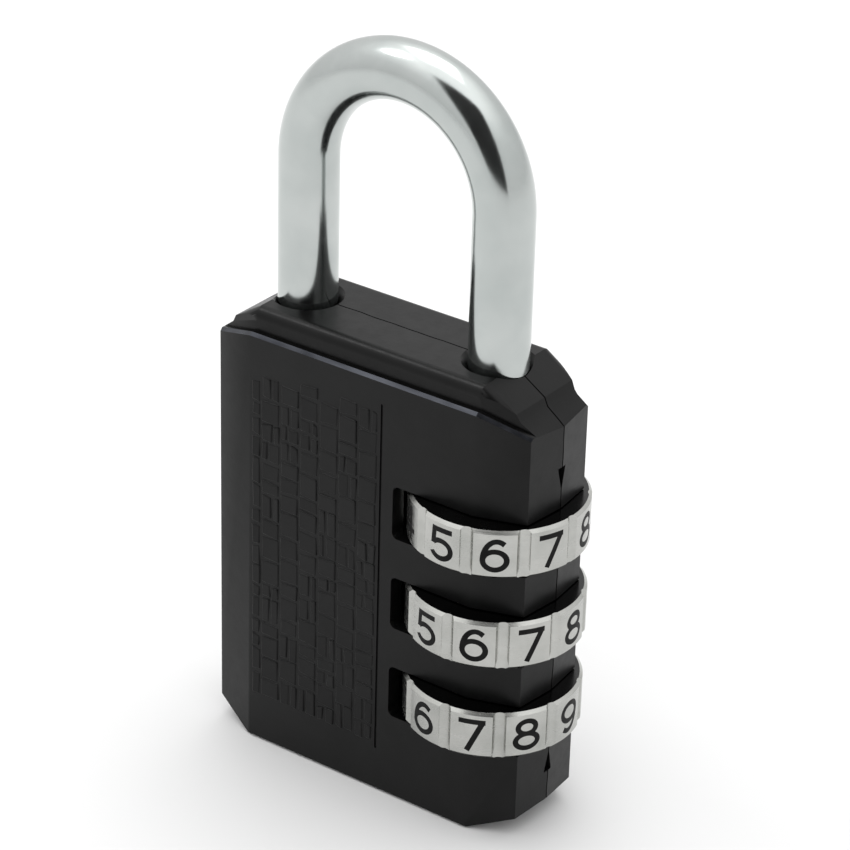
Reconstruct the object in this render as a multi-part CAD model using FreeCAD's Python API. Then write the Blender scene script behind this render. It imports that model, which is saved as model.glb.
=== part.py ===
"""Combination padlock with three number dials. Millimetres.

Z is up, the base of the case is z = 0, Y = 0 is the plane where the two case halves meet,
the front of the lock faces -Y and the dials stand out at the +X side.
"""
import FreeCAD, Part
import math
import os

V = FreeCAD.Vector
X_AXIS = V(1, 0, 0)
Y_AXIS = V(0, 1, 0)
Z_AXIS = V(0, 0, 1)

# case
HALF_W = 15.0          # side face
RIDGE = 0.4            # the side face rises to a ridge on the parting plane
HALF_T = 5.2           # flat front and back
PLATE_TOP = 37.3       # top of the front and back plates
DECK_TOP = 39.2        # raised deck that takes the shackle
DECK_HALF_Y = 4.6
DECK_HALF_X = 10.8
DECK_ROUND = 0.9       # rounding of the deck's long edges
SHOULDER = ((13.5, 37.45), (13.85, 36.8), (16.0, 35.1))     # fall of the shoulder beyond the deck, x and z
BEVEL_X = 4.14
BEVEL_Y = 1.39
BASE_RISE = 1.8
SOFT = 0.25            # small edge chamfer
BEYOND = 20.0          # how far cutting tools run out past the case
HOLLOW = (-12.2, -0.5, 4.6, 31.0)      # cored-out space left of the dials: x and z ends
HOLLOW_HALF_Y = 3.6

# shackle
BAR_R = 2.4
LEG_X = 9.2
BEND_Z = 51.2
TOE_END = 34.4
TOE_HOLE_END = 34.0
STEM_TOP = 31.2
STEM_R = 1.9
STEM_END = 2.6
TOE_CHAMFER = 0.4
LEG_FIT = 0.06
TOE_FIT = 0.1
FLARE = (0.49, 0.5)    # countersink of the leg holes, wider than the fit by this much, and its depth

# dials
DIAL_X = 9.75
DIAL_R = 7.15
DIAL_H = 4.1
DIAL_Z = {"bottom": 10.1, "middle": 18.28, "top": 26.36}
DIAL_TURN = {"bottom": 93.7, "middle": 93.6, "top": 104.6}     # angle of the marked digit from -Y to +X
DIAL_MARKED = {"bottom": 9, "middle": 8, "top": 8}
DIGITS = 10
STEP_DEG = 360.0 / DIGITS
GROOVE_R = 0.6
GROOVE_DEPTH = 0.35
KEYWAY_R = 0.4         # small grooves in the bore that a sleeve's rib locks in
KEYWAY_DEG = -72.0
INK = 0.12             # depth of the paint in the numerals
WINDOW_ABOVE = 2.15    # the window's top and base, from the dial's middle
WINDOW_BELOW = 2.45
WINDOW_R = 7.45
WINDOW_LEFT = 3.3
WINDOW_ROUND = 0.5

# click springs, beside the dials
LEAF_X = 0.95
LEAF_T = 0.25
LEAF_HALF_Y = 3.0
LEAF_HALF_Z = 1.6
NOSE_Y = 1.77
NOSE_HALF_Z = 1.2
NOSE_ROOT = 0.55       # half width at the leaf and at the tip
NOSE_END = 0.14
NOSE_TIP = {"bottom": 2.92, "middle": 2.92, "top": 2.74}       # in a groove, or on the rim between digits
LEAF_SLACK = 0.1
LEAF_BEND = 0.3        # room behind the nose for the leaf to bend into

# index marks on the right side: the z of each mark's point and of its wide end
INDEX_MARKS = ((30.3, 32.1), (6.4, 4.6))
INDEX_HALF = 0.5
INDEX_BOTTOM = 14.9

# front plate's border groove, right of the tiled panel
BORDER_X = (2.0, 2.2)
BORDER_Z = (4.0, 35.2)
BORDER_DEPTH = 0.12

# rivets
RIVET_AT = ((-9.2, 2.6), (3.6, 3.0), (-4.0, 35.0), (4.0, 35.0))
RIVET_R = 0.9
RIVET_HEAD_R = 1.7
RIVET_HEAD_T = 0.8
RIVET_START = -3.2
RIVET_FIT = 0.05

# code sleeves
SLEEVE_R = 4.7
SLEEVE_H = 7.1
SLEEVE_FIT = 0.08
DIAL_FIT = 0.03        # between a sleeve and its dial's bore
RIB_FIT = 0.06         # between a sleeve's rib and the dial's keyway
RELIEF_R = 4.05
LAND_R = 2.65
LAND_LOW = -0.5        # from the dial's middle
LAND_HIGH = 2.1
GATE_W = 2.2
LUG_R = 0.8
LUG_TIP = 3.75         # from the dial axis
LUG_Z = -1.6           # lug axis from the dial's middle
LUG_GAP = 0.1          # between a lug and the spring bore
CHAMBER_TOP = 33.0
CHAMBER_BASE = 6.4
WASHER_R = 4.95
WASHER_BORE = 4.1
WASHER_T = 0.5

# lift spring, inside the stem
SPRING_BORE_R = 1.0
SPRING_BORE_END = 12.6
COIL_R = 0.7
WIRE_R = 0.14
COIL_PITCH = 0.85
COIL_GAP = 0.02        # at both ends of the coil
PIN_R = 0.36
PIN_END = (0.8, 8.0)
PIN_FLANGE_R = 0.92
PIN_FLANGE_Z = (1.6, 2.0)

# numeral shape
NUM_W = 2.3
NUM_H = 2.9
STROKE = 0.45


def box(x0, x1, y0, y1, z0, z1):
    return Part.makeBox(x1 - x0, y1 - y0, z1 - z0, V(x0, y0, z0))


def cylinder(r, x, y, z0, z1):
    return Part.makeCylinder(r, z1 - z0, V(x, y, z0), Z_AXIS)


def prism(points, direction):
    wire = Part.makePolygon(points + [points[0]])
    return Part.Face(wire).extrude(direction)


def through_y(outline):
    """A prism with this outline in x and z that runs right through the lock from front to back."""
    return prism([V(x, -BEYOND, z) for x, z in outline], V(0, 2 * BEYOND, 0))


def union(shapes):
    return shapes[0].multiFuse(shapes[1:]) if len(shapes) > 1 else shapes[0]


def save(name, shape):
    shape.exportStep("parts/" + name + ".step")


# ---------------------------------------------------------------- case

def case_block():
    """The outer block before it is split, with its deck, bevels and shoulders."""
    w = HALF_W - BEVEL_X
    d = HALF_T - BEVEL_Y
    ridge = HALF_W + RIDGE
    plan = [(-w, -HALF_T), (w, -HALF_T), (HALF_W, -d), (ridge, 0), (HALF_W, d), (w, HALF_T),
            (-w, HALF_T), (-HALF_W, d), (-ridge, 0), (-HALF_W, -d)]
    block = prism([V(x, y, 0) for x, y in plan], V(0, 0, DECK_TOP))
    far = SHOULDER[-1][0]
    rise = BASE_RISE * (far - w) / BEVEL_X
    ledge = HALF_T - DECK_HALF_Y
    front = [(-w, 0), (w, 0), (far, rise)] + list(reversed(SHOULDER)) + [(DECK_HALF_X, DECK_TOP)]
    front += [(-DECK_HALF_X, DECK_TOP)] + [(-x, z) for x, z in SHOULDER] + [(-far, rise)]
    fall = PLATE_TOP - top_drop() * (far - w) / BEVEL_X
    under = [(-w, 0), (w, 0), (far, rise), (far, fall), (w, PLATE_TOP),
             (-w, PLATE_TOP), (-far, fall), (-far, rise)]
    quarter = [(far, d - ledge), (HALF_W, d - ledge), (w, DECK_HALF_Y)]
    inset = quarter + [(-x, y) for x, y in reversed(quarter)]
    inset += [(-x, -y) for x, y in quarter] + [(x, -y) for x, y in reversed(quarter)]
    plates = through_y(under)
    deck = prism([V(x, -DECK_HALF_Y, z) for x, z in front], V(0, 2 * DECK_HALF_Y, 0))
    deck = deck.makeFillet(DECK_ROUND, [e for e in deck.Edges if is_deck_edge(e)])
    deck = deck.common(prism([V(x, y, 0) for x, y in inset], V(0, 0, DECK_TOP + 1)))
    plates = plates.common(through_y(front))
    return block.common(deck.fuse(plates)).removeSplitter()


def top_drop():
    """The plates' top edge falls this much at the side bevels, to meet the shoulder at the side face."""
    (x0, z0), (x1, z1) = SHOULDER[1:]
    return PLATE_TOP - z0 - (z1 - z0) * (HALF_W - x0) / (x1 - x0)


def is_deck_edge(edge):
    """The long edges of the deck's flat top and of the first slope at each end."""
    b = edge.BoundBox
    return b.YLength < 0.01 and b.ZMin > SHOULDER[0][1] - 0.1


def plate_edge_cuts(side):
    """Small chamfer along the top edge of the front (-1) or back (+1) plate and its falling ends."""
    w = HALF_W - BEVEL_X
    y = side * HALF_T
    inner = y - side * SOFT
    section = [(y + side, PLATE_TOP + 1), (y + side, PLATE_TOP - SOFT - 1), (y, PLATE_TOP - SOFT),
               (inner, PLATE_TOP), (inner, PLATE_TOP + 1)]
    cuts = [prism([V(-w, *point) for point in section], V(2 * w, 0, 0))]
    for end in (-1, 1):
        fall = V(end * BEVEL_X, -side * BEVEL_Y, -top_drop())
        cuts.append(prism([V(end * w, *point) for point in section], fall * 1.2))
    return cuts


def base_edge_cut(side):
    y = side * HALF_T
    inner = y - side * SOFT
    section = [(y + side, -1), (y + side, SOFT + 1), (y, SOFT), (inner, 0), (inner, -1)]
    return prism([V(-BEYOND, *point) for point in section], V(2 * BEYOND, 0, 0))


def dial_rooms():
    """The space of each dial, open at the front, right and back, and of the click spring beside it."""
    rooms = []
    leaf_back = LEAF_X - LEAF_SLACK / 2
    leaf_front = LEAF_X + LEAF_T + LEAF_SLACK / 2
    leaf_y = LEAF_HALF_Y + LEAF_SLACK
    leaf_z = LEAF_HALF_Z + LEAF_SLACK
    nose_y = NOSE_Y + NOSE_ROOT
    for z in DIAL_Z.values():
        low = z - WINDOW_BELOW
        high = z + WINDOW_ABOVE
        rooms.append(cylinder(WINDOW_R, DIAL_X, 0, low, high))
        reach = math.sqrt(WINDOW_R ** 2 - (DIAL_X - WINDOW_LEFT) ** 2)
        rooms.append(window(-HALF_T - 1, -reach, low, high))
        rooms.append(window(reach, HALF_T + 1, low, high))
        rooms.append(box(leaf_back, leaf_front, -leaf_y, leaf_y, z - leaf_z, z + leaf_z))
        rooms.append(box(leaf_back - LEAF_BEND, WINDOW_LEFT, -nose_y, nose_y, z - leaf_z, z + leaf_z))
    return rooms


def window(y0, y1, low, high):
    """The opening in the front or back plate, with its two left corners rounded."""
    opening = box(WINDOW_LEFT, BEYOND, y0, y1, low, high)
    return opening.makeFillet(WINDOW_ROUND, [e for e in opening.Edges if is_window_corner(e)])


def is_window_corner(edge):
    b = edge.BoundBox
    return b.YLength > 0.5 and b.XMax < WINDOW_LEFT + 0.1


def index_cuts():
    """Pointed marks on the right side, above the top dial and below the bottom one."""
    x = INDEX_BOTTOM
    return [prism([V(x, 0, tip), V(x, -INDEX_HALF, wide), V(x, INDEX_HALF, wide)], X_AXIS)
            for tip, wide in INDEX_MARKS]


def rivet(x, z, grow):
    shank = Part.makeCylinder(RIVET_R + grow, HALF_T - RIVET_START, V(x, RIVET_START, z), Y_AXIS)
    head = Part.makeCylinder(RIVET_HEAD_R + grow, RIVET_HEAD_T, V(x, HALF_T - RIVET_HEAD_T, z), Y_AXIS)
    return shank.fuse(head).removeSplitter()


def case():
    x0, x1, z0, z1 = HOLLOW
    tools = dial_rooms()
    tools.append(cylinder(SLEEVE_R + SLEEVE_FIT, DIAL_X, 0, CHAMBER_BASE, CHAMBER_TOP))
    tools.append(cylinder(BAR_R + LEG_FIT, LEG_X, 0, CHAMBER_TOP - 1, DECK_TOP + 1))
    tools.append(cylinder(STEM_R + LEG_FIT, LEG_X, 0, PIN_FLANGE_Z[0], CHAMBER_BASE + 1))
    tools.append(cylinder(BAR_R + TOE_FIT, -LEG_X, 0, TOE_HOLE_END, DECK_TOP + 1))
    flare, deep = FLARE
    hole = BAR_R + LEG_FIT
    for x in (-LEG_X, LEG_X):
        tools.append(Part.makeCone(hole, hole + flare, deep, V(x, 0, DECK_TOP - deep), Z_AXIS))
    tools.append(cylinder(PIN_R, LEG_X, 0, PIN_END[0], PIN_FLANGE_Z[0] + 0.1))
    tools += [washer(z, 0) for z in washer_heights()]
    tools.append(box(x0, x1, -HOLLOW_HALF_Y, HOLLOW_HALF_Y, z0, z1))
    tools.append(box(*BORDER_X, -HALF_T - 1, -HALF_T + BORDER_DEPTH, *BORDER_Z))
    tools += index_cuts()
    tools += [rivet(x, z, RIVET_FIT) for x, z in RIVET_AT]
    for side in (-1, 1):
        tools += plate_edge_cuts(side)
        tools.append(base_edge_cut(side))
    block = case_block()
    for tool in tools:
        block = block.cut(tool)
    front = block.common(box(-BEYOND, BEYOND, -BEYOND, 0, -1, DECK_TOP + 1))
    back = block.common(box(-BEYOND, BEYOND, 0, BEYOND, -1, DECK_TOP + 1))
    return front, back


# ---------------------------------------------------------------- washers between the sleeves

def washer_heights():
    """Middle of the gap above the bottom and middle sleeves."""
    pitch = DIAL_Z["middle"] - DIAL_Z["bottom"]
    return [DIAL_Z[name] + pitch / 2 for name in ("bottom", "middle")]


def washer(z, bore):
    """A flat washer held in a groove of the case, or with no bore the room it takes up."""
    disc = cylinder(WASHER_R, DIAL_X, 0, z - WASHER_T / 2, z + WASHER_T / 2)
    return disc.cut(cylinder(bore, DIAL_X, 0, z - 1, z + 1)) if bore else disc


# ---------------------------------------------------------------- shackle

def shackle():
    """One bar: toe leg, bend, heel leg and the thinner stem that runs down through the dials."""
    toe = cylinder(BAR_R, -LEG_X, 0, TOE_END, BEND_Z)
    toe = toe.makeChamfer(TOE_CHAMFER, [e for e in toe.Edges if abs(e.BoundBox.ZMax - TOE_END) < 1e-6])
    heel = cylinder(BAR_R, LEG_X, 0, STEM_TOP, BEND_Z)
    stem = cylinder(STEM_R, LEG_X, 0, STEM_END, STEM_TOP + 1)
    ring = Part.makeTorus(LEG_X, BAR_R, V(0, 0, BEND_Z), Y_AXIS)
    bend = ring.common(box(-BEYOND, BEYOND, -BEYOND, BEYOND, BEND_Z, BEND_Z + BEYOND))
    body = union([toe, bend, heel, stem]).removeSplitter()
    body = body.cut(cylinder(SPRING_BORE_R, LEG_X, 0, STEM_END - 1, SPRING_BORE_END))
    for z in DIAL_Z.values():
        body = body.cut(lug(z))
    return body


def lug(z):
    start = DIAL_X - LUG_TIP
    end = LEG_X - SPRING_BORE_R - LUG_GAP
    return Part.makeCylinder(LUG_R, end - start, V(start, 0, z + LUG_Z), X_AXIS)


# ---------------------------------------------------------------- numerals

def bar(a, b):
    """A straight stroke from a to b, in the (u, v) plane."""
    dx = b[0] - a[0]
    dy = b[1] - a[1]
    length = math.hypot(dx, dy)
    nx = -dy / length * STROKE / 2
    ny = dx / length * STROKE / 2
    pts = [V(a[0] + nx, 0, a[1] + ny), V(b[0] + nx, 0, b[1] + ny),
           V(b[0] - nx, 0, b[1] - ny), V(a[0] - nx, 0, a[1] - ny)]
    return prism(pts, V(0, 2, 0))


def oval_arc(c, rx, ry, a0, a1):
    """Edge along an ellipse about c from angle a0 to a1, in degrees. Its longer axis may be either one."""
    centre = V(c[0], 0, c[1])
    across = V(rx, 0, 0)
    upright = V(0, 0, ry)
    quarter = 0
    if rx >= ry:
        ellipse = Part.Ellipse(centre + across, centre + upright, centre)
    else:
        ellipse = Part.Ellipse(centre + upright, centre - across, centre)
        quarter = 90
    return Part.ArcOfEllipse(ellipse, math.radians(a0 - quarter), math.radians(a1 - quarter)).toShape()


def ring(c, rx, ry):
    """A closed oval stroke."""
    faces = []
    for k in (STROKE / 2, -STROKE / 2):
        halves = [oval_arc(c, rx + k, ry + k, start, start + 180) for start in (0, 180)]
        faces.append(Part.Face(Part.Wire(halves)))
    return faces[0].cut(faces[1]).extrude(V(0, 2, 0))


def arc(c, rx, ry, a0, a1):
    """A curved stroke along an oval about c, from angle a0 to a1, counter-clockwise, in degrees."""
    half = STROKE / 2
    outer = oval_arc(c, rx + half, ry + half, a0, a1)
    inner = oval_arc(c, rx - half, ry - half, a0, a1)
    start = Part.makeLine(outer.valueAt(outer.FirstParameter), inner.valueAt(inner.FirstParameter))
    end = Part.makeLine(outer.valueAt(outer.LastParameter), inner.valueAt(inner.LastParameter))
    wire = Part.Wire(Part.__sortEdges__([outer, end, inner, start]))
    return Part.Face(wire).extrude(V(0, 2, 0))


def numeral(n):
    """Strokes of one digit about (0, 0) in the XZ plane, 2 mm thick along +Y."""
    half = STROKE / 2
    a = NUM_W / 2 - half
    b = NUM_H / 2 - half
    small = 0.47 * b       # half heights of the small and large bowls: together they fill the digit
    large = b - small
    if n == 0:
        parts = [arc((0, b - a), a, a, 0, 180), arc((0, a - b), a, a, 180, 360),
                 bar((-a, a - b), (-a, b - a)), bar((a, a - b), (a, b - a))]
    elif n == 1:
        parts = [bar((0.2, -b - half), (0.2, b + half)), bar((0.2, b), (-0.5, b - 0.5))]
    elif n == 2:
        parts = [arc((0, b - large), a, large, -35, 165), bar((0.85 * a, 0.25), (-a, -b)),
                 bar((-a - 0.1, -b), (a + half, -b))]
    elif n == 3:
        parts = [arc((0, b - small), 0.85 * a, small, -90, 155), arc((0, large - b), a, large, -155, 90)]
    elif n == 4:
        parts = [bar((0.45, b + half), (0.45, -b - half)), bar((0.42, b), (-a, -0.5)),
                 bar((-a - 0.1, -0.55), (a + half, -0.55))]
    elif n == 5:
        bowl = 0.62 * b
        parts = [bar((-0.65, b), (a + 0.1, b)), bar((-0.62, b + half), (-0.74, -0.1)),
                 arc((0, bowl - b), a, bowl, -155, 146)]
    elif n in (6, 9):
        bowl = 0.64 * b
        lean = 0.15 * a
        parts = [ring((0, bowl - b), a, bowl), arc((lean, bowl - b), a + lean, 2 * b - bowl, 56, 180)]
    elif n == 7:
        parts = [bar((-a - 0.1, b), (a + half, b)), bar((a, b), (-0.3, -b - half))]
    else:
        parts = [ring((0, b - small), 0.8 * a, small), ring((0, large - b), a, large)]
    if n == 9:
        parts = [p.copy() for p in parts]
        for p in parts:
            p.rotate(V(0, 1, 0), Y_AXIS, 180)
    return parts


def digit_angle(name, n):
    """Angle of digit n about the dial axis, measured from -Y towards +X."""
    return DIAL_TURN[name] + STEP_DEG * (n - DIAL_MARKED[name])


def numerals(name):
    """The paint fill of one dial's digits, each a solid flush with the dial's face."""
    z = DIAL_Z[name]
    shell = cylinder(DIAL_R, DIAL_X, 0, z - 3, z + 3).cut(cylinder(DIAL_R - INK, DIAL_X, 0, z - 4, z + 4))
    solids = []
    for n in range(DIGITS):
        flat = union(numeral(n))
        flat.translate(V(DIAL_X, -DIAL_R - 1, z))
        flat.rotate(V(DIAL_X, 0, z), Z_AXIS, digit_angle(name, n))
        solids += flat.common(shell).removeSplitter().Solids
    return solids


# ---------------------------------------------------------------- dials and sleeves

def key_rod(r, deg, z0, z1):
    """An upright rod on the sleeve's outer face, at an angle from -Y to +X."""
    t = math.radians(deg)
    return cylinder(r, DIAL_X + SLEEVE_R * math.sin(t), -SLEEVE_R * math.cos(t), z0, z1)


def dial(name, ink):
    z = DIAL_Z[name]
    low = z - DIAL_H / 2
    high = z + DIAL_H / 2
    body = cylinder(DIAL_R, DIAL_X, 0, low, high)
    body = body.makeChamfer(SOFT, [e for e in body.Edges if len(e.Vertexes) == 1])
    body = body.cut(cylinder(SLEEVE_R + DIAL_FIT, DIAL_X, 0, low - 1, high + 1))
    for k in range(DIGITS):
        mid = math.radians(digit_angle(name, k) + STEP_DEG / 2)
        r = DIAL_R + GROOVE_R - GROOVE_DEPTH
        x = DIAL_X + r * math.sin(mid)
        body = body.cut(cylinder(GROOVE_R, x, -r * math.cos(mid), low - 1, high + 1))
        body = body.cut(key_rod(KEYWAY_R, KEYWAY_DEG + STEP_DEG * k, low - 1, high + 1))
    return body.cut(Part.makeCompound(ink))


def code_sleeve(name):
    z = DIAL_Z[name]
    low = z - SLEEVE_H / 2
    high = z + SLEEVE_H / 2
    body = cylinder(SLEEVE_R, DIAL_X, 0, low, high)
    body = body.cut(cylinder(RELIEF_R, DIAL_X, 0, low - 1, z + LAND_LOW))
    body = body.cut(cylinder(RELIEF_R, DIAL_X, 0, z + LAND_HIGH, high + 1))
    body = body.cut(cylinder(LAND_R, DIAL_X, 0, low - 1, high + 1))
    gate = box(DIAL_X - RELIEF_R, DIAL_X, -GATE_W / 2, GATE_W / 2, low, high)
    body = body.cut(gate)
    rib = key_rod(KEYWAY_R - RIB_FIT, KEYWAY_DEG, z - DIAL_H / 2 + 0.1, z + DIAL_H / 2 - 0.1)
    return body.fuse(rib).removeSplitter()


def click_spring(name):
    """Leaf on edge beside a dial. Its nose rests in a groove, or on the rim of a dial between digits."""
    z = DIAL_Z[name]
    face = LEAF_X + LEAF_T
    tip = NOSE_TIP[name]
    low = z - NOSE_HALF_Z
    leaf = box(LEAF_X, face, -LEAF_HALF_Y, LEAF_HALF_Y, z - LEAF_HALF_Z, z + LEAF_HALF_Z)
    nose = [V(face, NOSE_Y - NOSE_ROOT, low), V(face, NOSE_Y + NOSE_ROOT, low),
            V(tip, NOSE_Y + NOSE_END, low), V(tip, NOSE_Y - NOSE_END, low)]
    return leaf.fuse(prism(nose, V(0, 0, 2 * NOSE_HALF_Z))).removeSplitter()


# ---------------------------------------------------------------- lift spring

def spring_pin():
    """Guide pin of the lift spring, with the flange that the spring stands on."""
    pin = cylinder(PIN_R, LEG_X, 0, *PIN_END)
    return pin.fuse(cylinder(PIN_FLANGE_R, LEG_X, 0, *PIN_FLANGE_Z)).removeSplitter()


def lift_spring():
    low = PIN_FLANGE_Z[1] + WIRE_R + COIL_GAP
    high = SPRING_BORE_END - WIRE_R - COIL_GAP
    helix = Part.makeHelix(COIL_PITCH, high - low, COIL_R)
    helix.translate(V(LEG_X, 0, low))
    profile = Part.Wire([Part.makeCircle(WIRE_R, V(LEG_X + COIL_R, 0, low), Y_AXIS)])
    return Part.Wire(helix.Edges).makePipeShell([profile], True, True)


def main():
    os.makedirs("parts", exist_ok=True)
    front, back = case()
    save("front_case", front)
    save("back_case", back)
    save("case_rivets", Part.makeCompound([rivet(x, z, 0) for x, z in RIVET_AT]))
    save("shackle", shackle())
    save("lug_pins", Part.makeCompound([lug(z) for z in DIAL_Z.values()]))
    save("sleeve_washers", Part.makeCompound([washer(z, WASHER_BORE) for z in washer_heights()]))
    save("spring_pin", spring_pin())
    save("lift_spring", lift_spring())
    for name in DIAL_Z:
        ink = numerals(name)
        save("numerals_" + name, Part.makeCompound(ink))
        save("dial_" + name, dial(name, ink))
        save("code_sleeve_" + name, code_sleeve(name))
        save("click_spring_" + name, click_spring(name))


main()
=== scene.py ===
"""The looks of the combination padlock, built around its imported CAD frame. Millimetres unless said, +Z up."""
import math
import random

import bmesh
import bpy
from mathutils import Matrix, Vector, geometry, noise


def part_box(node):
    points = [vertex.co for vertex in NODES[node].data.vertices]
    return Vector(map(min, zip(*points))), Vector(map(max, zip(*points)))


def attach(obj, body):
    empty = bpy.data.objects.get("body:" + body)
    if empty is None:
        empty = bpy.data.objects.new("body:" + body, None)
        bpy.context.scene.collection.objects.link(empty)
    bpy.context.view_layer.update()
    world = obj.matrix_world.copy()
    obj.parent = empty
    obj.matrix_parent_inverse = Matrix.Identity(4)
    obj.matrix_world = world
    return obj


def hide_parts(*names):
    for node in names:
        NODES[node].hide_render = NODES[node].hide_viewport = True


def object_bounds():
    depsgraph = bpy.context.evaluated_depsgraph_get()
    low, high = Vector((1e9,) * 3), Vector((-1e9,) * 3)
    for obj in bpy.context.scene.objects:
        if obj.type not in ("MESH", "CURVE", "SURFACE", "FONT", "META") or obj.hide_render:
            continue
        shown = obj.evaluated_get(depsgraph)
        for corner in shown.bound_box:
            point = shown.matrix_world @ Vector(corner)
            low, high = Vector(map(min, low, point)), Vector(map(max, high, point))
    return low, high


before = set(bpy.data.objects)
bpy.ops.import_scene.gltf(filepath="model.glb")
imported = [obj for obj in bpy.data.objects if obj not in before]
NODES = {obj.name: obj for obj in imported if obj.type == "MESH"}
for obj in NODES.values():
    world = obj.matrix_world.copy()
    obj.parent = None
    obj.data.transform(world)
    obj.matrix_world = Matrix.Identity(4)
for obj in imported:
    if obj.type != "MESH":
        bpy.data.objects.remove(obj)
cad_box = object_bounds()
MM = 0.001

# camera: where it looks, from which angle in degrees, and how far off
TARGET = Vector((2.46, 0.0, 31.42)) * MM
CAMERA_AZ = 35.62
CAMERA_EL = 27.73
CAMERA_ROLL = 1.56
DISTANCE = 266.1 * MM
LENS_MM = 144.5
SENSOR_MM = 36.0

# studio, in metres: sky brightness by height, from the horizon (0) to straight above (1), the floor, a dark
# card behind the camera, and the lights
SKY = ((0.0, 0.86), (0.5, 1.05), (0.7, 1.35), (0.86, 1.65), (1.0, 1.75))
FLOOR_SHADE = 0.68
FLOOR_SIZE = (60, 60)
CARD_AZ = 31.0
CARD_EL = 26.0
CARD_FAR = 0.8
CARD_SIZE = (0.80, 1.25)
LIGHTS = (    # name, azimuth, elevation, distance, size, radiance
    ("overhead", -150.0, 72.0, 0.6, (0.35, 0.35), 2.2),
    ("edge_light", -70.0, 56.0, 0.6, (0.14, 0.14), 8.0),
)

# panel of small raised tiles on the front plate
PANEL_X = (-10.7, 1.78)
PANEL_Z = (4.4, 34.6)
TILE_WIDE = 1.92
TILE_TALL = (1.2, 2.4)
TILE_GAP = 0.2
TILE_RAISE = (0.03, 0.115)
TILE_ROUND = 0.16
TILE_ROOT = 0.2         # how deep a tile's block reaches into the plate
TILE_NUDGE = (0.06, 0.12)       # a corner strays this much in x and in z
SPLIT_CHANCE = 0.3      # some tiles are split in two upright halves
SPLIT_AT = (0.35, 0.65)
SPLIT_WIDE = 1.0        # narrower tiles stay whole
FRONT_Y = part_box("front_case")[0][1] / MM

# edges of the case halves
PLATE_TOP = 37.35       # the plates' sloping edges lie below this height
EDGE_ROUND = 0.12
EDGE_DEG = 25           # edges that turn more than this are rounded
JOIN_DEG = 0.5          # flatter than this, two faces are one
TOUCHING = 1e-7         # metres; nearer than this to a point or a plane is on it

# parting line between the case halves
SEAM_GAP = 0.06
SEAM_DEPTH = 0.4       # the halves draw apart this deep, and touch further in
SEAM_WANDER = 0.11
SEAM_WAVE = 1.7
SEAM_STEP = 0.8

# shackle
BAR_R = 2.4
TOE_END = 34.4
STEM_R = 1.9
STEM_TOP = 31.2
TOE_CHAMFER = 0.4
BAR_SIDES = 96
BEND_STEPS = 128
BEND_LEAD = 0.2         # extra rings this far below the bend, and this far from a hard edge, keep the
RIM_LEAD = 0.1          # shading of the legs even

# sockets of a colour Mix node: its two colours, and its result among the outputs
MIX_FIRST = 6
MIX_SECOND = 7
MIX_RESULT = 2


# ---------------------------------------------------------------- materials

class Shader:
    """A material's node tree with short calls to add and join nodes."""

    def __init__(self, name):
        self.material = bpy.data.materials.new(name)
        self.material.use_nodes = True
        self.tree = self.material.node_tree
        self.bsdf = next(n for n in self.tree.nodes if n.type == "BSDF_PRINCIPLED")

    def set(self, **values):
        for key, value in values.items():
            self.bsdf.inputs[key.replace("_", " ")].default_value = value
        return self

    def add(self, kind, **settings):
        node = self.tree.nodes.new(kind)
        for key, value in settings.items():
            if key in node.inputs.keys():
                node.inputs[key].default_value = value
            else:
                setattr(node, key, value)
        return node

    def join(self, source, target):
        self.tree.links.new(source, target)

    def coords(self, scale=(1, 1, 1)):
        where = self.add("ShaderNodeTexCoord")
        mapping = self.add("ShaderNodeMapping")
        mapping.inputs["Scale"].default_value = scale
        self.join(where.outputs["Object"], mapping.inputs["Vector"])
        return mapping.outputs["Vector"]

    def noise(self, scale, detail=4.0, roughness=0.6, stretch=(1, 1, 1)):
        node = self.add("ShaderNodeTexNoise", Scale=scale, Detail=detail, Roughness=roughness)
        self.join(self.coords(stretch), node.inputs["Vector"])
        return node.outputs["Fac"]

    def ramp(self, source, low, high, at=(0.3, 0.7)):
        node = self.add("ShaderNodeValToRGB")
        node.color_ramp.elements[0].position = at[0]
        node.color_ramp.elements[1].position = at[1]
        node.color_ramp.elements[0].color = rgba(low)
        node.color_ramp.elements[1].color = rgba(high)
        self.join(source, node.inputs["Fac"])
        return node.outputs["Color"]

    def bump(self, height, strength, distance, below=None):
        node = self.add("ShaderNodeBump", Strength=strength, Distance=distance)
        self.join(height, node.inputs["Height"])
        if below is not None:
            self.join(below, node.inputs["Normal"])
        return node.outputs["Normal"]

    def normal(self, source):
        self.join(source, self.bsdf.inputs["Normal"])


def rgba(shade):
    """A colour with its alpha, from one grey level or from three channels."""
    return (shade, shade, shade, 1) if isinstance(shade, (int, float)) else (*shade, 1)


def black_coat():
    """Semi-gloss black paint over a die-cast body: a fine orange peel and slight shade changes."""
    s = Shader("black_coat").set(Metallic=0.0, IOR=1.28)
    s.join(s.ramp(s.noise(220, 5), 0.001, 0.0035), s.bsdf.inputs["Base Color"])
    s.join(s.ramp(s.noise(900, 3), 0.30, 0.40), s.bsdf.inputs["Roughness"])
    peel = s.bump(s.noise(2600, 2), 0.10, 0.00004)
    s.normal(s.bump(s.noise(420, 3), 0.12, 0.0001, peel))
    return s.material


def painted_edge_highlight():
    """A painted highlight along the plate's top edge: streaks of brighter metal that stand in for the light
    caught there.
    """
    s = Shader("painted_edge_highlight").set(Metallic=1.0)
    streaks = s.noise(150, 3, stretch=(0.7, 2, 2))
    shade = s.ramp(streaks, (0.02, 0.021, 0.025), (0.10, 0.105, 0.12), (0.35, 0.65))
    s.join(shade, s.bsdf.inputs["Base Color"])
    s.join(s.ramp(s.noise(700, 3), 0.24, 0.38), s.bsdf.inputs["Roughness"])
    return s.material


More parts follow.
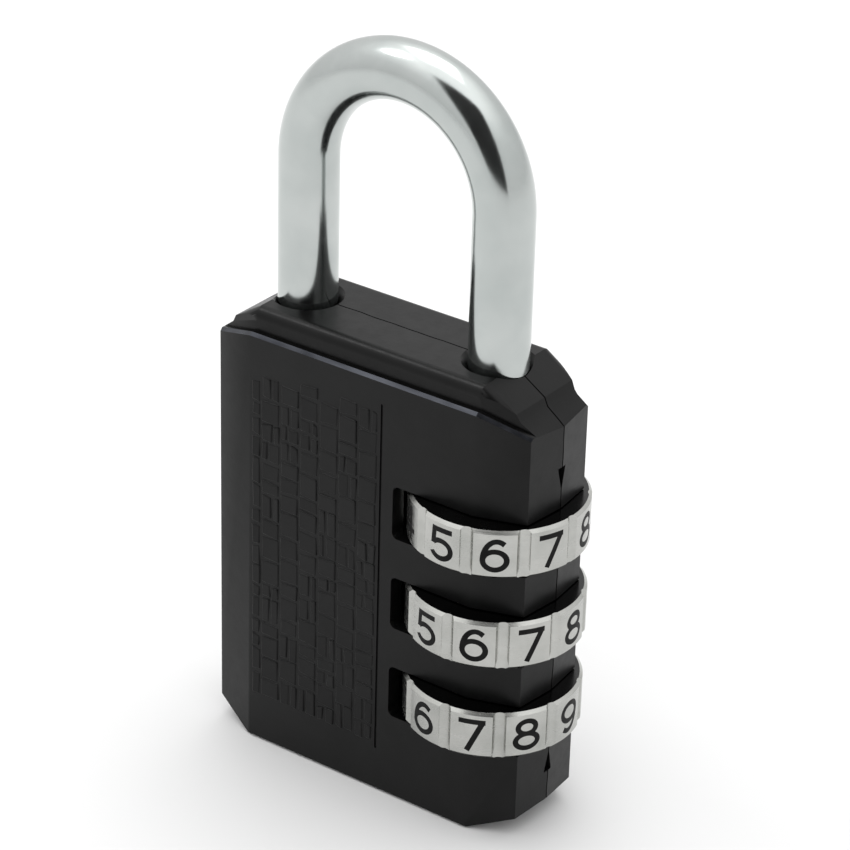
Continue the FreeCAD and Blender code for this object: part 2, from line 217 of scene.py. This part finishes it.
def polished_plate():
    """Bright plating on the shackle, with faint drawing marks along the bar."""
    s = Shader("polished_plate").set(Metallic=1.0)
    shade = s.ramp(s.noise(160, 4), (0.44, 0.47, 0.46), (0.52, 0.545, 0.535))
    s.join(shade, s.bsdf.inputs["Base Color"])
    s.join(s.ramp(s.noise(500, 4, stretch=(1, 1, 0.15)), 0.13, 0.21), s.bsdf.inputs["Roughness"])
    s.normal(s.bump(s.noise(1800, 2), 0.04, 0.00003))
    return s.material


def satin_plate():
    """Satin plating round a dial's rim, with turning marks. The flat faces get painted shade: a dark colour in
    place of the shade inside the case windows.
    """
    s = Shader("satin_plate").set(Metallic=1.0)
    rim = s.ramp(s.noise(300, 4), (0.38, 0.385, 0.365), (0.49, 0.49, 0.47))
    turned = s.ramp(s.noise(700, 4, stretch=(0.3, 0.3, 6)), 0.17, 0.30)
    where = s.add("ShaderNodeNewGeometry")
    parts = s.add("ShaderNodeSeparateXYZ")
    s.join(where.outputs["Normal"], parts.inputs["Vector"])
    flat = s.add("ShaderNodeMath", operation="ABSOLUTE")
    s.join(parts.outputs["Z"], flat.inputs[0])
    # painted shade: faces turned up or down are made dark, standing in for the shade the case casts on them
    painted_shade_mask = s.ramp(flat.outputs["Value"], 0.0, 1.0, (0.92, 0.97))
    mix = s.add("ShaderNodeMix", data_type="RGBA")
    s.join(painted_shade_mask, mix.inputs["Factor"])
    s.join(rim, mix.inputs[MIX_FIRST])
    mix.inputs[MIX_SECOND].default_value = rgba(0.035)
    s.join(mix.outputs[MIX_RESULT], s.bsdf.inputs["Base Color"])
    s.join(turned, s.bsdf.inputs["Roughness"])
    s.normal(s.bump(s.noise(500, 3, stretch=(0.2, 0.2, 12)), 0.06, 0.00004))
    return s.material


def numeral_ink():
    """Dull black paint in the numerals."""
    s = Shader("numeral_ink").set(Metallic=0.0, IOR=1.2)
    s.join(s.ramp(s.noise(900, 3), 0.002, 0.007), s.bsdf.inputs["Base Color"])
    s.join(s.ramp(s.noise(1500, 3), 0.40, 0.55), s.bsdf.inputs["Roughness"])
    return s.material


def plain_metal(name, low, high, rough):
    """Bare metal of the inner pieces: low and high are the two ends of its colour variation."""
    s = Shader(name).set(Metallic=1.0)
    s.join(s.ramp(s.noise(500, 4), low, high), s.bsdf.inputs["Base Color"])
    s.join(s.ramp(s.noise(900, 4), rough - 0.07, rough + 0.08), s.bsdf.inputs["Roughness"])
    s.normal(s.bump(s.noise(1500, 3), 0.08, 0.00003))
    return s.material


def assign(obj, material):
    obj.data.materials.clear()
    obj.data.materials.append(material)


# ---------------------------------------------------------------- pieces

def link(name, mesh, material, body):
    """Puts a mesh in the scene as a piece that rides on a body."""
    obj = bpy.data.objects.new(name, mesh)
    bpy.context.scene.collection.objects.link(obj)
    assign(obj, material)
    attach(obj, body)
    return obj


def case_shell(node, name, side, coat, edge_highlight_paint):
    """A case half with its flat faces joined up and its edges rounded. Side: -1 is the front, 1 the back."""
    bm = bmesh.new()
    bm.from_mesh(NODES[node].data)
    bmesh.ops.remove_doubles(bm, verts=bm.verts, dist=TOUCHING)
    bmesh.ops.dissolve_limit(bm, angle_limit=math.radians(JOIN_DEG), verts=bm.verts, edges=bm.edges)
    open_seam(bm, side)
    mesh = bpy.data.meshes.new(name)
    bm.to_mesh(mesh)
    bm.free()
    obj = link(name, mesh, coat, "case")
    # the plates' top chamfers get the second material, a painted highlight: a brighter line in place of the
    # light caught on that edge
    mesh.materials.append(edge_highlight_paint)
    for face in mesh.polygons:
        face.use_smooth = True
        if is_plate_chamfer(face):
            face.material_index = 1
    bevel = obj.modifiers.new("edges", "BEVEL")
    bevel.width = EDGE_ROUND * MM
    bevel.segments = 3
    bevel.limit_method = "ANGLE"
    bevel.angle_limit = math.radians(EDGE_DEG)
    even = obj.modifiers.new("even_faces", "WEIGHTED_NORMAL")
    even.mode = "FACE_AREA"
    even.weight = 100
    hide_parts(node)


def is_plate_chamfer(face):
    """The small sloping faces along the top edge of the front and back plates."""
    slopes = abs(face.normal.y) > 0.5 and 0.5 < face.normal.z < 0.9
    return slopes and face.center.z < PLATE_TOP * MM


def open_seam(bm, side):
    """Draws a case half's outer rim back from the parting plane by a hair, along a line that wanders."""
    on_plane = [e for e in bm.edges if all(abs(v.co.y) < TOUCHING for v in e.verts)]
    for edge in on_plane:
        cuts = int(edge.calc_length() / (SEAM_STEP * MM))
        if cuts > 0:
            bmesh.ops.subdivide_edges(bm, edges=[edge], cuts=cuts)
    flat = [v for v in bm.verts if abs(v.co.y) < TOUCHING]
    places = [Vector((v.co.x, v.co.z)) for v in flat]
    outline = [places[i] for i in geometry.convex_hull_2d(places)]
    for vert, place in zip(flat, places):
        if distance_to(outline, place) < SEAM_DEPTH * MM:
            wander = noise.noise(vert.co / (SEAM_WAVE * MM)) * SEAM_WANDER
            vert.co.y = (side * SEAM_GAP + wander) * MM


def distance_to(outline, place):
    """How far a point lies from a closed outline, both in x and z."""
    nearest = math.inf
    for start, end in zip(outline, outline[1:] + outline[:1]):
        along = min(max((place - start).dot(end - start) / (end - start).length_squared, 0), 1)
        nearest = min(nearest, (place - start.lerp(end, along)).length)
    return nearest


def tile_panel(material):
    """Columns of small raised tiles of uneven height and shape on the front plate."""
    rng = random.Random(7)
    bm = bmesh.new()
    edge = PANEL_X[1]
    while edge > PANEL_X[0] + TILE_GAP:
        x0 = max(edge - TILE_WIDE, PANEL_X[0]) + TILE_GAP / 2
        x1 = edge - TILE_GAP / 2
        edge -= TILE_WIDE
        low = PANEL_Z[0]
        while low < PANEL_Z[1] - TILE_TALL[0]:
            top = min(low + rng.uniform(*TILE_TALL), PANEL_Z[1])
            z0 = low + TILE_GAP / 2
            z1 = top - TILE_GAP / 2
            if rng.random() < SPLIT_CHANCE and x1 - x0 > SPLIT_WIDE:
                split = x0 + (x1 - x0) * rng.uniform(*SPLIT_AT)
                add_tile(bm, x0, split - TILE_GAP / 2, z0, z1, rng)
                add_tile(bm, split + TILE_GAP / 2, x1, z0, z1, rng)
            else:
                add_tile(bm, x0, x1, z0, z1, rng)
            low = top
    mesh = bpy.data.meshes.new("front_tiles")
    bm.to_mesh(mesh)
    bm.free()
    for face in mesh.polygons:
        face.use_smooth = True
    obj = link("front_tiles", mesh, material, "case")
    bevel = obj.modifiers.new("edges", "BEVEL")
    bevel.width = TILE_ROUND * MM
    bevel.segments = 4
    bevel.limit_method = "ANGLE"
    bevel.harden_normals = True


def add_tile(bm, x0, x1, z0, z1, rng):
    """A block whose face leans a little, so that neighbours catch the light differently."""
    corners = [(x0, z0), (x1, z0), (x1, z1), (x0, z1)]
    raise_at = [rng.uniform(*TILE_RAISE) for _ in corners]
    dx, dz = TILE_NUDGE
    nudge = [Vector((rng.uniform(-dx, dx), 0, rng.uniform(-dz, dz))) for _ in corners]
    places = [Vector((x, 0, z)) + n for (x, z), n in zip(corners, nudge)]
    front = [bm.verts.new((p + Vector((0, FRONT_Y - up, 0))) * MM) for p, up in zip(places, raise_at)]
    back = [bm.verts.new((p + Vector((0, FRONT_Y + TILE_ROOT, 0))) * MM) for p in places]
    bm.faces.new(front)
    bm.faces.new(back[::-1])
    for i in range(4):
        j = (i + 1) % 4
        bm.faces.new((front[j], front[i], back[i], back[j]))


def bar_stations():
    """Rings along the shackle's middle line, from the toe to the stem's end: x, z, turn and radius."""
    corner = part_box("shackle")[1]
    reach = corner[0] / MM
    leg = reach - BAR_R
    bend_z = corner[2] / MM - reach
    stem_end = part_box("shackle")[0][2] / MM
    toe_top = TOE_END + TOE_CHAMFER
    toe = [(TOE_END, 0.0), (TOE_END, BAR_R - TOE_CHAMFER), (toe_top, BAR_R), (toe_top + RIM_LEAD, BAR_R),
           (bend_z - BEND_LEAD, BAR_R)]
    stations = [(-leg, z, 0, r) for z, r in toe]
    for k in range(BEND_STEPS + 1):
        turn = math.pi * k / BEND_STEPS
        stations.append((-leg * math.cos(turn), bend_z + leg * math.sin(turn), turn, BAR_R))
    heel = [(bend_z - BEND_LEAD, BAR_R), (STEM_TOP + RIM_LEAD, BAR_R), (STEM_TOP, BAR_R), (STEM_TOP, STEM_R),
            (stem_end, STEM_R), (stem_end, 0.0)]
    return stations + [(leg, z, math.pi, r) for z, r in heel]


def add_ring(bm, x, z, turn, r):
    """The points of one ring, or its middle point alone where the radius is nothing."""
    middle = Vector((x, 0, z))
    if r == 0:
        return [bm.verts.new(middle * MM)]
    out = Vector((-math.cos(turn), 0, math.sin(turn)))
    around = [2 * math.pi * i / BAR_SIDES for i in range(BAR_SIDES)]
    return [bm.verts.new((middle + out * r * math.cos(a) + Vector((0, r * math.sin(a), 0))) * MM)
            for a in around]


def shackle_bar(material):
    """The shackle as one finely divided bar: toe, leg, round bend, leg and the thinner stem below it."""
    bm = bmesh.new()
    rings = [add_ring(bm, *station) for station in bar_stations()]
    for low, high in zip(rings, rings[1:]):
        for i in range(BAR_SIDES):
            j = (i + 1) % BAR_SIDES
            if len(low) == 1:
                bm.faces.new((low[0], high[i], high[j]))
            elif len(high) == 1:
                bm.faces.new((low[j], low[i], high[0]))
            else:
                bm.faces.new((low[j], low[i], high[i], high[j]))
    bmesh.ops.recalc_face_normals(bm, faces=bm.faces)
    mesh = bpy.data.meshes.new("shackle_bar")
    bm.to_mesh(mesh)
    bm.free()
    for face in mesh.polygons:
        face.use_smooth = True
    obj = link("shackle_bar", mesh, material, "shackle")
    mesh.set_sharp_from_angle(angle=math.radians(30))
    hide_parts("shackle")


# ---------------------------------------------------------------- stage

def area_light(name, place, power, size):
    """A soft light that faces the lock. The camera doesn't see it."""
    data = bpy.data.lights.new(name, "AREA")
    data.energy = power
    data.shape = "RECTANGLE"
    data.size = size[0]
    data.size_y = size[1]
    obj = bpy.data.objects.new(name, data)
    bpy.context.scene.collection.objects.link(obj)
    obj.location = place
    obj.rotation_euler = (TARGET - place).to_track_quat("-Z", "Y").to_euler()
    obj.visible_camera = False


def stage_plane(name, place, aim, size, material):
    """A flat sheet of the studio, facing aim. It isn't part of the lock."""
    bm = bmesh.new()
    bmesh.ops.create_grid(bm, x_segments=1, y_segments=1, size=0.5)
    mesh = bpy.data.meshes.new(name)
    bm.to_mesh(mesh)
    bm.free()
    obj = bpy.data.objects.new(name, mesh)
    obj.location = place
    obj.scale = (size[0], size[1], 1)
    obj.rotation_euler = (Vector(aim) - Vector(place)).to_track_quat("Z", "Y").to_euler()
    bpy.context.scene.collection.objects.link(obj)
    obj.data.materials.append(material)
    return obj


def studio():
    """The dome, the floor, the dark card that the plating mirrors, and two soft lights."""
    scene = bpy.context.scene
    scene.view_settings.view_transform = "Standard"
    world = bpy.data.worlds.new("studio")
    scene.world = world
    world.use_nodes = True
    sky(world.node_tree)
    ground = Shader("floor_white").set(Roughness=0.7, IOR=1.2, Base_Color=rgba(FLOOR_SHADE)).material
    stage_plane("floor", (0, 0, cad_box[0][2]), (0, 0, 1), FLOOR_SIZE, ground)
    dark = Shader("dark_card").set(Roughness=1.0, IOR=1.0, Base_Color=rgba(0.02)).material
    out = direction(CARD_AZ, CARD_EL)
    card = stage_plane("dark_card", TARGET + out * CARD_FAR, TARGET, CARD_SIZE, dark)
    card.visible_camera = False
    card.visible_diffuse = False
    card.visible_shadow = False
    for name, az, el, far, size, radiance in LIGHTS:
        power = math.pi * size[0] * size[1] * radiance
        area_light(name, TARGET + direction(az, el) * far, power, size)


def sky(tree):
    """A dome that brightens smoothly from the horizon to straight above."""
    back = tree.nodes["Background"]
    where = tree.nodes.new("ShaderNodeTexCoord")
    parts = tree.nodes.new("ShaderNodeSeparateXYZ")
    shade = tree.nodes.new("ShaderNodeValToRGB")
    brightest = max(level for _, level in SKY)
    ramp = shade.color_ramp
    while len(ramp.elements) < len(SKY):
        ramp.elements.new(0.5)
    for element, (height, level) in zip(ramp.elements, SKY):
        element.position = height
        element.color = rgba(level / brightest)
    back.inputs["Strength"].default_value = brightest
    tree.links.new(where.outputs["Generated"], parts.inputs["Vector"])
    tree.links.new(parts.outputs["Z"], shade.inputs["Fac"])
    tree.links.new(shade.outputs["Color"], back.inputs["Color"])


def direction(az, el):
    """Unit vector at an azimuth from -Y towards +X and an elevation, in degrees."""
    a = math.radians(az)
    e = math.radians(el)
    return Vector((math.sin(a) * math.cos(e), -math.cos(a) * math.cos(e), math.sin(e)))


def camera():
    """Looks at the lock's front and right side from above, rolled a little."""
    out = direction(CAMERA_AZ, CAMERA_EL)
    turn = math.radians(CAMERA_AZ)
    roll = math.radians(CAMERA_ROLL)
    right = Vector((math.cos(turn), math.sin(turn), 0))
    up = out.cross(right)
    side = right * math.cos(roll) + up * math.sin(roll)
    head = up * math.cos(roll) - right * math.sin(roll)
    data = bpy.data.cameras.new("camera")
    data.lens = LENS_MM
    data.sensor_width = SENSOR_MM
    data.clip_start = 0.01
    obj = bpy.data.objects.new("camera", data)
    place = TARGET + out * DISTANCE
    obj.matrix_world = Matrix.Translation(place) @ Matrix((side, head, out)).transposed().to_4x4()
    bpy.context.scene.collection.objects.link(obj)
    bpy.context.scene.camera = obj


# ---------------------------------------------------------------- make it

camera()
studio()

coat = black_coat()
# painted highlight for the top edges of the front and back plates
edge_highlight_paint = painted_edge_highlight()
case_shell("front_case", "front_shell", -1, coat, edge_highlight_paint)
case_shell("back_case", "back_shell", 1, coat, edge_highlight_paint)
tile_panel(coat)

shackle_bar(polished_plate())
finish_of = {
    "lug_pins": plain_metal("pin_steel", 0.40, 0.50, 0.3),
    "case_rivets": plain_metal("rivet_steel", 0.03, 0.06, 0.42),
    "spring_pin": plain_metal("guide_steel", 0.40, 0.50, 0.3),
    "sleeve_washers": plain_metal("washer_steel", 0.40, 0.50, 0.35),
    "lift_spring": plain_metal("spring_steel", 0.45, 0.55, 0.3),
}
satin = satin_plate()
ink = numeral_ink()
brass = plain_metal("sleeve_brass", (0.55, 0.40, 0.17), (0.70, 0.53, 0.26), 0.3)
leaf = plain_metal("leaf_steel", 0.42, 0.52, 0.28)
for level in ("top", "middle", "bottom"):
    finish_of["dial_" + level] = satin
    finish_of["numerals_" + level] = ink
    finish_of["code_sleeve_" + level] = brass
    finish_of["click_spring_" + level] = leaf
for node, material in finish_of.items():
    assign(NODES[node], material)
